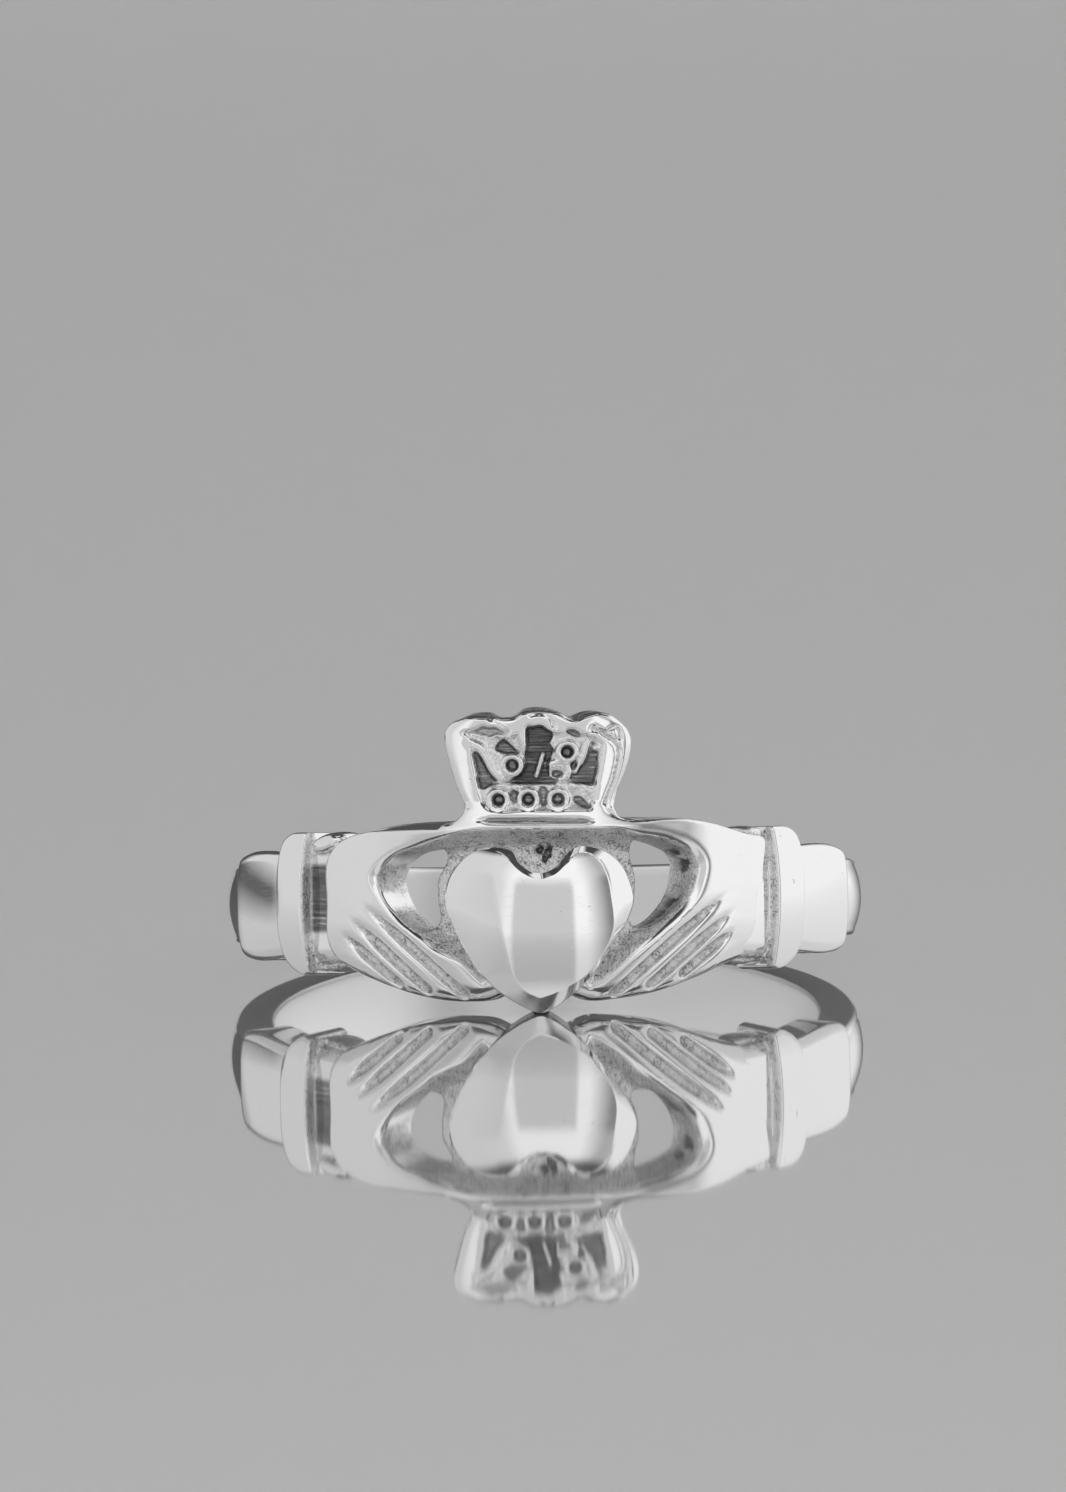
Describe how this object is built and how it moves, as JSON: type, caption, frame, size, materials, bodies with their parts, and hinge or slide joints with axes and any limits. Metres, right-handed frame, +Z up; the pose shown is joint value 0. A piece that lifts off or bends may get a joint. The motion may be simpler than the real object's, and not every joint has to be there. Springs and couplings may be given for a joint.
{
  "type": "claddagh ring",
  "caption": "Silver claddagh finger ring: two cuffed hands hold a puffed heart under a beaded crown, on a plain rounded band.",
  "frame": {"origin": "on the surface that the ring rests on, under the middle of its bounding box", "axes": "+X towards the right hand of the motif as seen from the front, +Y from the heart towards the back of the band, +Z up; the finger axis leans back from +Z by the angle at which the ring rests by itself"},
  "size_m": [0.0202, 0.0214, 0.0095],
  "materials": {
    "silver": "polished cast silver, grainy in the sunk panels and grooves"
  },
  "bodies": {
    "root": {"ring": "silver"}
  },
  "joints": []
}
